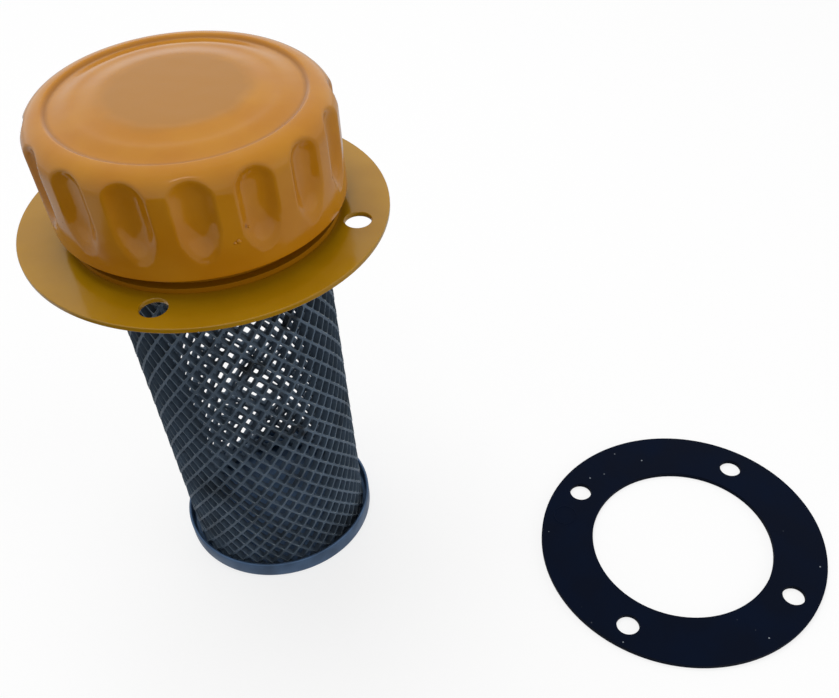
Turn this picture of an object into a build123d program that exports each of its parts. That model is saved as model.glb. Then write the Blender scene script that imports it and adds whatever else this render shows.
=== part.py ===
"""Hydraulic filler breather: a fluted bayonet cap on a bolted flange, with a
strainer basket hanging below it and its rubber flange gasket lying beside it.

+Z is up. The origin is on the breather's axis, at the face its strainer stands on.
Sizes are millimetres.
"""

import os
from math import cos, pi, radians, sin, sqrt

from build123d import *

os.makedirs("parts", exist_ok=True)

# ---------------------------------------------------------------- driving sizes
# Mounting flange
BOLT_PCD = 70.0  # bolt circle
BOLT_HOLE_D = 6.0
BOLT_COUNT = 4
BOLT_EDGE = 3.5  # metal outside a bolt hole
FLANGE_T = 1.2  # sheet
FLANGE_TOP_Z = 106.0  # top face of the flange above the strainer's foot

# Strainer basket
MESH_D = 51.2  # outside of the expanded-metal tube
MESH_T = 0.8
MESH_COLUMNS = 12  # diamonds around, in each row
MESH_ROWS = 9  # staggered rows of diamonds
STRAND_W = 2.2  # web left between diamonds
CUP_H = 5.6
CUP_T = 0.9
CUP_GAP = 1.1  # between the tube and the cup's wall
RIM_SHEET = 0.8
RIM_BAND_H = 9.0  # band inside the tube's top
RIM_SLIP = 0.05  # radial gap between the band and the tube
RIM_SEAT = 0.9  # width of the rim's lip that rests on the flange
RIM_GAP = 0.2  # tube's top to the rim's lip

# Filler neck, a bayonet ring on the flange
NECK_T = 1.2
NECK_H = 12.0
FOOT_W = 2.1  # foot welded to the flange, outside the neck's wall
LIP_W = 5.2  # inward lip, from the neck's bore to its clear mouth
LUG_INSET = 1.9  # neck's bore to a lug's end
LUG_HALF_ANGLE = 14.0  # half of the angle that one bayonet lug takes
NOTCH_GAP = 0.5  # radial gap past a lug in its entry notch
NOTCH_CLEAR_ANGLE = 3.0  # extra on each side of a lug in its entry notch
LOCK_TURN = 60.0  # turn from the notches to the stops
STOP_W = 2.0  # width of a stop tongue
STOP_INSET = 1.0  # clear mouth to a stop tongue
STOP_GAP_ANGLE = 4.0  # locked lug to the middle of its stop tongue

# Cap
CAP_CLEAR = 0.8  # neck's wall to the insides of the flutes
CAP_SHEET = 1.0
CAP_EDGE_GAP = 4.2  # flange to the skirt's edge
CAP_H = 22.9  # skirt's edge to the crown of the shoulder
SHOULDER_R = 5.0
FLUTE_COUNT = 16
FLUTE_DEPTH = 2.2
FLUTE_R = 6.0  # hollow of one flute
FLUTE_PHASE = -68.9  # direction of one flute about +Z
FLUTE_LOW = 12.0  # skirt's edge to where the flute's straight part starts
FLUTE_LENGTH = 5.8  # straight part
CROWN_W = 1.2  # crown, from the shoulder's arc to the ring groove
GROOVE_DEPTH = 0.6
SLOPE_W = 7.1  # sloping ring inside the groove
SLOPE_RISE = 0.9  # groove to the slope's inner edge
STEP_W = 3.0  # step between the slope and the flat disc
DISC_RISE = 0.7  # slope's inner edge to the disc

# Inside of the cap
SEAL_T = 2.0
PAN_T = 1.0
PAN_RIM_H = 6.0
WELD_GAP = 0.15  # radial gap at a spot-welded fit
AIR_HOLE_D = 3.4
AIR_HOLE_COUNT = 8
CORE_R = 12.7  # outside of the element's core
CORE_T = 0.7
CORE_HOLE_D = 2.4
CORE_HOLE_ROWS = 3
CORE_HOLE_COLUMNS = 12
CORE_SLIP = 0.1  # radial gap between the core and the foam
ELEMENT_GAP = 2.25  # foam to the pan's rim
RIVET_R = 3.0
PIN_CLEAR = 0.1  # radial, around the rivet
HEAD_R = 5.5
HEAD_T = 1.5
SPACER_W = 0.5  # spacer's wall outside the rivet's head
BAR_T = 1.5
BAR_DROP = 0.3  # lip to bayonet bar
SPRING_H = 6.5
SPRING_WIRE = 1.2
SPRING_TURNS = 3.0
SPRING_WIRE_SIDES = 8  # the wire's section, kept light
WASHER_T = 0.8

# Flange gasket
GASKET_PROUD = 0.75  # gasket's edge outside the flange's edge
GASKET_SETBACK = 0.95  # gasket's bore outside the flange's bore
GASKET_T = 1.5
GASKET_HOLE_D = 6.5
GASKET_X = 124.0  # where it lies beside the breather
GASKET_TURN = 63.6  # direction of one of its holes

FIT = 0.3  # plain clearance between neighbours
CUT = 1.0  # overshoot of a cutting body

# ---------------------------------------------------------------- derived sizes
flange_under_z = FLANGE_TOP_Z - FLANGE_T
mesh_r = MESH_D / 2
mesh_bore_r = mesh_r - MESH_T
flange_r = (BOLT_PCD + BOLT_HOLE_D) / 2 + BOLT_EDGE
flange_bore_r = mesh_r + FIT
rim_lip_r = flange_bore_r + RIM_SEAT
neck_bore_r = rim_lip_r + FIT
neck_r = neck_bore_r + NECK_T
neck_foot_r = neck_r + FOOT_W
neck_top_z = FLANGE_TOP_Z + NECK_H
lip_under_z = neck_top_z - NECK_T
mouth_r = neck_bore_r - LIP_W
cup_bore_r = mesh_r + CUP_GAP
cup_r = cup_bore_r + CUP_T
rim_band_r = mesh_bore_r - RIM_SLIP
rim_band_bore_r = rim_band_r - RIM_SHEET
gasket_r = flange_r + GASKET_PROUD
gasket_bore_r = flange_bore_r + GASKET_SETBACK

flute_bore_r = neck_r + CAP_CLEAR
cap_r = flute_bore_r + CAP_SHEET + FLUTE_DEPTH
cap_edge_z = FLANGE_TOP_Z + CAP_EDGE_GAP
crown_z = cap_edge_z + CAP_H
groove_z = crown_z - GROOVE_DEPTH
slope_z = groove_z + SLOPE_RISE
disc_z = slope_z + DISC_RISE
crown_r = cap_r - SHOULDER_R
flute_axis_r = cap_r - FLUTE_DEPTH + FLUTE_R
flute_low_z = cap_edge_z + FLUTE_LOW
flute_high_z = flute_low_z + FLUTE_LENGTH
groove_r = crown_r - CROWN_W
slope_r = groove_r - SLOPE_W
disc_r = slope_r - STEP_W

pan_under_z = neck_top_z + SEAL_T
pan_top_z = pan_under_z + PAN_T
pan_r = flute_bore_r - WELD_GAP
element_r = pan_r - PAN_T - ELEMENT_GAP
element_top_z = groove_z - CAP_SHEET - FIT
lug_r = neck_bore_r - LUG_INSET
notch_r = lug_r + NOTCH_GAP
bar_top_z = lip_under_z - BAR_DROP
bar_under_z = bar_top_z - BAR_T
bar_half_w = lug_r * sin(radians(LUG_HALF_ANGLE))
washer_top_z = bar_under_z - SPRING_H
head_top_z = washer_top_z - WASHER_T
head_under_z = head_top_z - HEAD_T
pin_bore_r = RIVET_R + PIN_CLEAR
spring_mean_r = pin_bore_r + FIT + SPRING_WIRE
spacer_r = HEAD_R + SPACER_W
air_hole_ring_r = (HEAD_R + CORE_R - CORE_T) / 2


def save(builder: BuildPart, name: str) -> None:
    """Label one sub-part and write its STEP file."""
    builder.part.label = name
    export_step(builder.part, f"parts/{name}.step")


# ---------------------------------------------------------------- mounting flange
# One flat pressed ring. The strainer hangs through its bore.
with BuildPart() as mounting_flange:
    with BuildSketch(Plane.XY.offset(flange_under_z)):
        Circle(flange_r)
        Circle(flange_bore_r, mode=Mode.SUBTRACT)
        with PolarLocations(BOLT_PCD / 2, BOLT_COUNT):
            Circle(BOLT_HOLE_D / 2, mode=Mode.SUBTRACT)
    extrude(amount=FLANGE_T)
save(mounting_flange, "mounting_flange")

# ---------------------------------------------------------------- filler neck
# A drawn ring: foot on the flange, wall, and an inward lip with two entry notches.
# Two pressed-down tongues under the lip stop the lugs.
stop_turn = -(LOCK_TURN + LUG_HALF_ANGLE + STOP_GAP_ANGLE)
stop_outer_r = neck_bore_r - FIT
stop_inner_r = mouth_r + STOP_INSET
with BuildPart() as filler_neck:
    with BuildSketch(Plane.XZ):
        with BuildLine():
            Polyline(
                (neck_bore_r, FLANGE_TOP_Z),
                (neck_foot_r, FLANGE_TOP_Z),
                (neck_foot_r, FLANGE_TOP_Z + NECK_T),
                (neck_r, FLANGE_TOP_Z + NECK_T),
                (neck_r, neck_top_z),
                (mouth_r, neck_top_z),
                (mouth_r, lip_under_z),
                (neck_bore_r, lip_under_z),
                close=True,
            )
        make_face()
    revolve(axis=Axis.Z)
    notch_angle = 2 * (LUG_HALF_ANGLE + NOTCH_CLEAR_ANGLE)
    with BuildSketch(Plane.XY.offset(lip_under_z)):
        Circle(notch_r)
        half_w = notch_r * sin(radians(notch_angle / 2))
        Rectangle(2 * notch_r + CUT, 2 * half_w, mode=Mode.INTERSECT)
    extrude(amount=NECK_T, mode=Mode.SUBTRACT)
    with BuildSketch(Plane.XY.offset(lip_under_z)):
        for side in (0, 180):
            with Locations(Rotation(0, 0, side + stop_turn)):
                with Locations(((stop_inner_r + stop_outer_r) / 2, 0)):
                    Rectangle(stop_outer_r - stop_inner_r, STOP_W)
    extrude(amount=-(BAR_DROP + BAR_T))
save(filler_neck, "filler_neck")

# ---------------------------------------------------------------- strainer basket
# Rim: a flanged band. Its lip sits on the flange, inside the neck.
with BuildPart() as strainer_rim:
    with BuildSketch(Plane.XZ):
        with BuildLine():
            Polyline(
                (rim_band_bore_r, FLANGE_TOP_Z - RIM_BAND_H),
                (rim_band_r, FLANGE_TOP_Z - RIM_BAND_H),
                (rim_band_r, FLANGE_TOP_Z),
                (rim_lip_r, FLANGE_TOP_Z),
                (rim_lip_r, FLANGE_TOP_Z + RIM_SHEET),
                (rim_band_bore_r, FLANGE_TOP_Z + RIM_SHEET),
                close=True,
            )
        make_face()
    revolve(axis=Axis.Z)
save(strainer_rim, "strainer_rim")

# Tube: expanded metal, its diamonds staggered from row to row.
mesh_low_z = CUP_T
mesh_high_z = FLANGE_TOP_Z - RIM_GAP
mesh_zone_low = CUP_H + STRAND_W / 2
mesh_zone_high = FLANGE_TOP_Z - RIM_BAND_H - STRAND_W / 2
row_step = (mesh_zone_high - mesh_zone_low) / (MESH_ROWS + 1)
column_angle = 360 / MESH_COLUMNS
column_w = 2 * pi * mesh_r / MESH_COLUMNS
diamond_slant = sqrt((column_w / 2) ** 2 + row_step**2)
diamond_w = column_w - STRAND_W * diamond_slant / row_step
diamond_h = 2 * row_step - STRAND_W * diamond_slant / (column_w / 2)
diamond_planes = []
for row in range(MESH_ROWS):
    z = mesh_zone_low + row_step * (row + 1)
    for column in range(MESH_COLUMNS):
        turn = radians(column_angle * (column + (row % 2) / 2))
        out = (cos(turn), sin(turn), 0)
        diamond_planes.append(
            Plane(
                origin=(out[0] * mesh_bore_r * 0.9, out[1] * mesh_bore_r * 0.9, z),
                x_dir=(-out[1], out[0], 0),
                z_dir=out,
            )
        )
with BuildPart() as strainer_mesh:
    with BuildSketch(Plane.XY.offset(mesh_low_z)):
        Circle(mesh_r)
        Circle(mesh_bore_r, mode=Mode.SUBTRACT)
    extrude(amount=mesh_high_z - mesh_low_z)
    with BuildSketch(*diamond_planes):
        Polygon(
            (diamond_w / 2, 0),
            (0, diamond_h / 2),
            (-diamond_w / 2, 0),
            (0, -diamond_h / 2),
            align=None,
        )
    extrude(amount=mesh_r - mesh_bore_r * 0.9 + CUT, mode=Mode.SUBTRACT)
save(strainer_mesh, "strainer_mesh")

# Cup: drawn sheet that closes the tube's foot.
with BuildPart() as strainer_cup:
    with BuildSketch(Plane.XZ):
        with BuildLine():
            Polyline(
                (0, 0),
                (cup_r, 0),
                (cup_r, CUP_H),
                (cup_bore_r, CUP_H),
                (cup_bore_r, CUP_T),
                (0, CUP_T),
                close=True,
            )
        make_face()
    revolve(axis=Axis.Z)
    foot = edges().filter_by(GeomType.CIRCLE).group_by(Axis.Z)[0]
    fillet(foot.sort_by(SortBy.RADIUS)[-1], radius=CUP_T)
save(strainer_cup, "strainer_cup")


# ---------------------------------------------------------------- cap cover
flute_turns = [FLUTE_PHASE + 360 / FLUTE_COUNT * k for k in range(FLUTE_COUNT)]
flute_middle_z = (flute_low_z + flute_high_z) / 2


def top_points(wall: float, low_z: float) -> list[tuple[float, float]]:
    """Half section of the cap's top from the shoulder inwards, one wall lower."""
    return [
        (crown_r, crown_z - wall),
        (groove_r, groove_z - wall),
        (slope_r, slope_z - wall),
        (disc_r, disc_z - wall),
        (0, disc_z - wall),
        (0, low_z),
        (cap_r - wall, low_z),
        (cap_r - wall, crown_z - SHOULDER_R),
    ]


def flute_spots(z: float) -> list[Location]:
    """Where each flute's axis passes height z."""
    return [
        Location((flute_axis_r * cos(a), flute_axis_r * sin(a), z))
        for a in (radians(t) for t in flute_turns)
    ]


# The hollow of the cap, with the flutes standing into it.
with BuildPart() as cap_hollow:
    with BuildSketch(Plane.XZ):
        with BuildLine():
            inside = Polyline(*top_points(CAP_SHEET, cap_edge_z - CUT))
            RadiusArc(inside @ 1, inside @ 0, -(SHOULDER_R - CAP_SHEET))
        make_face()
    revolve(axis=Axis.Z)
    with Locations(*flute_spots(flute_low_z), *flute_spots(flute_high_z)):
        Sphere(FLUTE_R + CAP_SHEET, mode=Mode.SUBTRACT)
    with Locations(*flute_spots(flute_middle_z)):
        Cylinder(FLUTE_R + CAP_SHEET, FLUTE_LENGTH, mode=Mode.SUBTRACT)

with BuildPart() as cap_cover:
    with BuildSketch(Plane.XZ):
        with BuildLine():
            outside = Polyline(*top_points(0, cap_edge_z))
            RadiusArc(outside @ 1, outside @ 0, -SHOULDER_R)
        make_face()
    revolve(axis=Axis.Z)
    with Locations(*flute_spots(flute_low_z), *flute_spots(flute_high_z)):
        Sphere(FLUTE_R, mode=Mode.SUBTRACT)
    with Locations(*flute_spots(flute_middle_z)):
        Cylinder(FLUTE_R, FLUTE_LENGTH, mode=Mode.SUBTRACT)
    add(cap_hollow.part, mode=Mode.SUBTRACT)
save(cap_cover, "cap_cover")

# ---------------------------------------------------------------- inside of the cap
# Flat seal between the neck's lip and the pan.
with BuildPart() as cap_seal:
    with BuildSketch(Plane.XY.offset(neck_top_z)):
        Circle(neck_r - FIT)
        Circle(mouth_r + FIT, mode=Mode.SUBTRACT)
    extrude(amount=SEAL_T)
save(cap_seal, "cap_seal")

# Pan: closes the cap's underside. Its rim is spot-welded to the flutes' insides.
with BuildPart() as cap_pan:
    with BuildSketch(Plane.XY.offset(pan_under_z)):
        Circle(pan_r)
    extrude(amount=PAN_T + PAN_RIM_H)
    with BuildSketch(Plane.XY.offset(pan_top_z)):
        Circle(pan_r - PAN_T)
    extrude(amount=PAN_RIM_H, mode=Mode.SUBTRACT)
    with BuildSketch(Plane.XY.offset(pan_under_z)):
        Circle(pin_bore_r)
        with PolarLocations(air_hole_ring_r, AIR_HOLE_COUNT):
            Circle(AIR_HOLE_D / 2)
    extrude(amount=PAN_T, mode=Mode.SUBTRACT)
save(cap_pan, "cap_pan")

# Foam ring on its perforated core.
with BuildPart() as filter_element:
    with BuildSketch(Plane.XY.offset(pan_top_z)):
        Circle(element_r)
        Circle(CORE_R + CORE_SLIP, mode=Mode.SUBTRACT)
    extrude(amount=element_top_z - pan_top_z)
save(filter_element, "filter_element")

core_h = element_top_z - pan_top_z
with BuildPart() as element_core:
    with BuildSketch(Plane.XY.offset(pan_top_z)):
        Circle(CORE_R)
        Circle(CORE_R - CORE_T, mode=Mode.SUBTRACT)
    extrude(amount=core_h)
    core_planes = []
    for row in range(CORE_HOLE_ROWS):
        for column in range(CORE_HOLE_COLUMNS):
            turn = radians(360 / CORE_HOLE_COLUMNS * (column + (row % 2) / 2))
            core_planes.append(
                Plane(
                    origin=(0, 0, pan_top_z + core_h * (row + 1) / (CORE_HOLE_ROWS + 1)),
                    x_dir=(-sin(turn), cos(turn), 0),
                    z_dir=(cos(turn), sin(turn), 0),
                )
            )
    with BuildSketch(*core_planes):
        Circle(CORE_HOLE_D / 2)
    extrude(amount=CORE_R + CUT, mode=Mode.SUBTRACT)
save(element_core, "element_core")

# Spacer between the pan and the bayonet bar.
with BuildPart() as spacer:
    with BuildSketch(Plane.XY.offset(bar_top_z)):
        Circle(spacer_r)
        Circle(pin_bore_r, mode=Mode.SUBTRACT)
    extrude(amount=pan_under_z - bar_top_z)
save(spacer, "spacer")

# Bayonet bar: its two ends are the lugs.
with BuildPart() as bayonet_bar:
    with BuildSketch(Plane.XY.offset(bar_under_z)):
        Circle(lug_r)
        Rectangle(2 * lug_r + CUT, 2 * bar_half_w, mode=Mode.INTERSECT)
        Circle(pin_bore_r, mode=Mode.SUBTRACT)
    extrude(amount=BAR_T)
save(bayonet_bar, "bayonet_bar")

# Spring that draws the cap down on its seal.
with BuildPart() as cap_spring:
    coil_low_z = washer_top_z + SPRING_WIRE / 2
    coil_h = SPRING_H - SPRING_WIRE
    with BuildLine() as coil:
        Helix(
            pitch=coil_h / SPRING_TURNS,
            height=coil_h,
            radius=spring_mean_r,
            center=(0, 0, coil_low_z),
        )
    with BuildSketch(
        Plane(origin=coil.line @ 0, z_dir=coil.line % 0, x_dir=(1, 0, 0))
    ):
        RegularPolygon(SPRING_WIRE / 2, SPRING_WIRE_SIDES)
    sweep(path=coil.line)
save(cap_spring, "cap_spring")

with BuildPart() as spring_washer:
    with BuildSketch(Plane.XY.offset(head_top_z)):
        Circle(spring_mean_r + SPRING_WIRE)
        Circle(pin_bore_r, mode=Mode.SUBTRACT)
    extrude(amount=WASHER_T)
save(spring_washer, "spring_washer")

# Rivet through pan, spacer, bar, spring and washer.
with BuildPart() as centre_rivet:
    with BuildSketch(Plane.XY.offset(head_under_z)):
        Circle(HEAD_R)
    extrude(amount=HEAD_T)
    with BuildSketch(Plane.XY.offset(head_top_z)):
        Circle(RIVET_R)
    extrude(amount=pan_top_z - head_top_z)
    with BuildSketch(Plane.XY.offset(pan_top_z)):
        Circle(HEAD_R)
    extrude(amount=HEAD_T)
save(centre_rivet, "centre_rivet")

# ---------------------------------------------------------------- flange gasket
# Lies flat beside the breather, on the face the strainer stands on.
with BuildPart() as flange_gasket:
    with BuildSketch(Plane.XY):
        with Locations((GASKET_X, 0)):
            Circle(gasket_r)
            Circle(gasket_bore_r, mode=Mode.SUBTRACT)
            with PolarLocations(BOLT_PCD / 2, BOLT_COUNT, start_angle=GASKET_TURN):
                Circle(GASKET_HOLE_D / 2, mode=Mode.SUBTRACT)
    extrude(amount=GASKET_T)
save(flange_gasket, "flange_gasket")
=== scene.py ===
"""Looks of a hydraulic filler breather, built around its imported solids.

A fluted bayonet cap and a flat bolted flange in glossy ochre enamel, a strainer of
expanded steel with a drawn cup at its foot, and the flange's rubber gasket lying
beside them. Everything is in metres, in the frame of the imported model. Sizes that a
class holds are millimetres, and angles are degrees.
"""

import logging
import random
from collections.abc import Iterable, Sequence
from dataclasses import dataclass, field
from enum import Enum
from functools import partial
from math import atan2, cos, hypot, pi, radians, sin, sqrt

import bmesh
import bpy
from mathutils import Matrix, Vector


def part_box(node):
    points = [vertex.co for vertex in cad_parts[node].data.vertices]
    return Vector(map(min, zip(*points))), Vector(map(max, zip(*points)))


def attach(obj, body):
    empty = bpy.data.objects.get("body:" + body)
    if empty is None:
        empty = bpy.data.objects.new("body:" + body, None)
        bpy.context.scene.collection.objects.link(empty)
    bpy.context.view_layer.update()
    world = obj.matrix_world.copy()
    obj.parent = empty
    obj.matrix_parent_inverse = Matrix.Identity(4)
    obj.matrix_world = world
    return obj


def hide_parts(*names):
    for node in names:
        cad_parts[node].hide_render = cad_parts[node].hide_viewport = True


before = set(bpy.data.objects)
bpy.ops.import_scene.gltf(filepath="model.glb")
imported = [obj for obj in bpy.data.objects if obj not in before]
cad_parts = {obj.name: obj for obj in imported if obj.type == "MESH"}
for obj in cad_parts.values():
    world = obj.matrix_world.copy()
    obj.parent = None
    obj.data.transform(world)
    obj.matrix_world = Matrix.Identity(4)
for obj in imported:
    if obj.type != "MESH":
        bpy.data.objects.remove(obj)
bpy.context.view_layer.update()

MM = 0.001
WHITE = (1.0, 1.0, 1.0, 1.0)
SHARP = 35  # an edge of a solid that turns by more degrees is rounded
FLAT = 0.5  # an edge of a solid that turns by fewer degrees is dissolved
Tree = bpy.types.NodeTree
Socket = bpy.types.NodeSocket
log = logging.getLogger("filler_breather")


class Body(str, Enum):
    """The bodies that pieces ride on."""

    BASE = "base"
    SEAL = "seal"
    CAP = "cap"


class Slot(str, Enum):
    """The record's material slots."""

    CAP_PAINT = "paint_cap"
    PAINT = "paint"
    NECK_PAINT = "paint_neck"
    PLATED = "plated_steel"
    SPRING = "spring_steel"
    MESH = "mesh_steel"
    BLUED = "blued_steel"
    GASKET = "gasket_rubber"
    SEAL = "seal_rubber"
    FOAM = "filter_foam"


# ---------------------------------------------------------------- node helpers
def linear(colour: str) -> tuple[float, float, float, float]:
    """Turn an sRGB hex colour to linear RGBA.

    Args:
        colour: Colour such as "#C08A2E".

    Returns:
        Red, green, blue and an alpha of 1.
    """

    def channel(start: int) -> float:
        """One channel, from its two hex digits."""
        value = int(colour[start : start + 2], 16) / 255
        return value / 12.92 if value <= 0.04045 else ((value + 0.055) / 1.055) ** 2.4

    return channel(1), channel(3), channel(5), 1.0


def add_node(
    tree: Tree,
    kind: str,
    inputs: dict[str | int, object] | Sequence[object] = (),
    **settings: object,
) -> bpy.types.Node:
    """Add one node with its settings and links.

    Args:
        tree: The node tree that the node goes into.
        kind: The node's type, such as "ShaderNodeBump".
        inputs: A value or another node's output for each named or numbered input, or
            for the first inputs in their order.
        settings: Values for the node's own attributes.

    Returns:
        The new node.
    """
    node = tree.nodes.new(kind)
    for name, value in settings.items():
        setattr(node, name, value)
    pairs = inputs.items() if isinstance(inputs, dict) else enumerate(inputs)
    for key, value in pairs:
        if isinstance(value, Socket):
            tree.links.new(value, node.inputs[key])
        else:
            node.inputs[key].default_value = value
    return node


def empty_material(name: str) -> bpy.types.Material:
    """Make a material that has no nodes yet.

    Args:
        name: Name of the material.

    Returns:
        The new material.
    """
    material = bpy.data.materials.new(name)
    material.use_nodes = True
    material.node_tree.nodes.clear()
    return material


@dataclass(frozen=True)
class Finish:
    """A material that a piece is dressed in, named for what it is and how it was made."""

    name: str

    def surface(self, tree: Tree) -> Socket:
        """Build the nodes.

        Args:
            tree: The material's empty node tree.

        Returns:
            The surface output.
        """
        raise NotImplementedError

    def make(self) -> bpy.types.Material:
        """Build the material and return it."""
        material = empty_material(self.name)
        tree = material.node_tree
        add_node(tree, "ShaderNodeOutputMaterial", {"Surface": self.surface(tree)})
        return material

    @staticmethod
    def patches(
        tree: Tree,
        at: Socket,
        size: float,
        detail: float,
        fade: tuple[float, float],
        ends: tuple[float, float] = (0.0, 1.0),
    ) -> Socket:
        """Cloudy patches, from one value to another.

        Args:
            tree: The node tree.
            at: Coordinates in metres.
            size: Width of a patch, in millimetres.
            detail: Number of finer octaves in its outline.
            fade: Values of the noise between which a patch fades.
            ends: Results at both ends of the fade.

        Returns:
            The patches' value.
        """
        waves = {"Vector": at, "Scale": 1 / (size * MM), "Detail": detail}
        noise = add_node(tree, "ShaderNodeTexNoise", waves).outputs["Fac"]
        return add_node(tree, "ShaderNodeMapRange", (noise, *fade, *ends)).outputs[0]

    @classmethod
    def spot(
        cls,
        tree: Tree,
        at: Socket,
        away: Socket,
        fade: tuple[float, float],
        most: float,
        wave: float,
        stray: float,
    ) -> Socket:
        """A spot with a ragged edge.

        Args:
            tree: The node tree.
            at: Coordinates in metres.
            away: Distance from the spot's middle, in metres.
            fade: Distances between which the spot fades out, in millimetres.
            most: Its share inside.
            wave: Width of one wave of its edge, in millimetres.
            stray: How far its edge strays to each side, in millimetres.

        Returns:
            The spot's share, from 0 to most.
        """
        shift = cls.patches(tree, at, wave, 3.0, (0.3, 0.7), (-stray * MM, stray * MM))
        edge = add_node(tree, "ShaderNodeMath", (away, shift), operation="ADD").outputs[0]
        inner, outer = fade
        falling = (edge, inner * MM, outer * MM, most, 0.0)
        return add_node(tree, "ShaderNodeMapRange", falling).outputs[0]

    @staticmethod
    def from_axis(tree: Tree, at: Socket) -> Socket:
        """Distance from the vertical axis.

        Args:
            tree: The node tree.
            at: Coordinates in metres.

        Returns:
            The distance in metres.
        """
        level = (at, (1, 1, 0))
        flat = add_node(tree, "ShaderNodeVectorMath", level, operation="MULTIPLY").outputs[0]
        return add_node(tree, "ShaderNodeVectorMath", (flat,), operation="LENGTH").outputs["Value"]

    @staticmethod
    def layered(tree: Tree, ground: str, layers: Iterable[tuple[Socket, str]]) -> Socket:
        """Lay colours over one another.

        Args:
            tree: The node tree.
            ground: Hex colour under all others.
            layers: How much each colour covers, and the colour, from the lowest one up.

        Returns:
            The colour that shows.
        """
        colour = linear(ground)
        for share, over in layers:
            coat = {0: share, 6: colour, 7: linear(over)}
            colour = add_node(tree, "ShaderNodeMix", coat, data_type="RGBA").outputs[2]
        return colour

    @staticmethod
    def embossed(tree: Tree, bumps: Iterable[tuple[Socket, float]]) -> Socket:
        """Lay height patterns over one another.

        Args:
            tree: The node tree.
            bumps: Each pattern and the height of its 1 in millimetres, coarse ones first.

        Returns:
            The bumped normal.
        """
        under = {}
        for height, depth in bumps:
            relief = {"Height": height, "Distance": depth * MM, "Strength": 1.0} | under
            under = {"Normal": add_node(tree, "ShaderNodeBump", relief).outputs["Normal"]}
        return under["Normal"]


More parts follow.
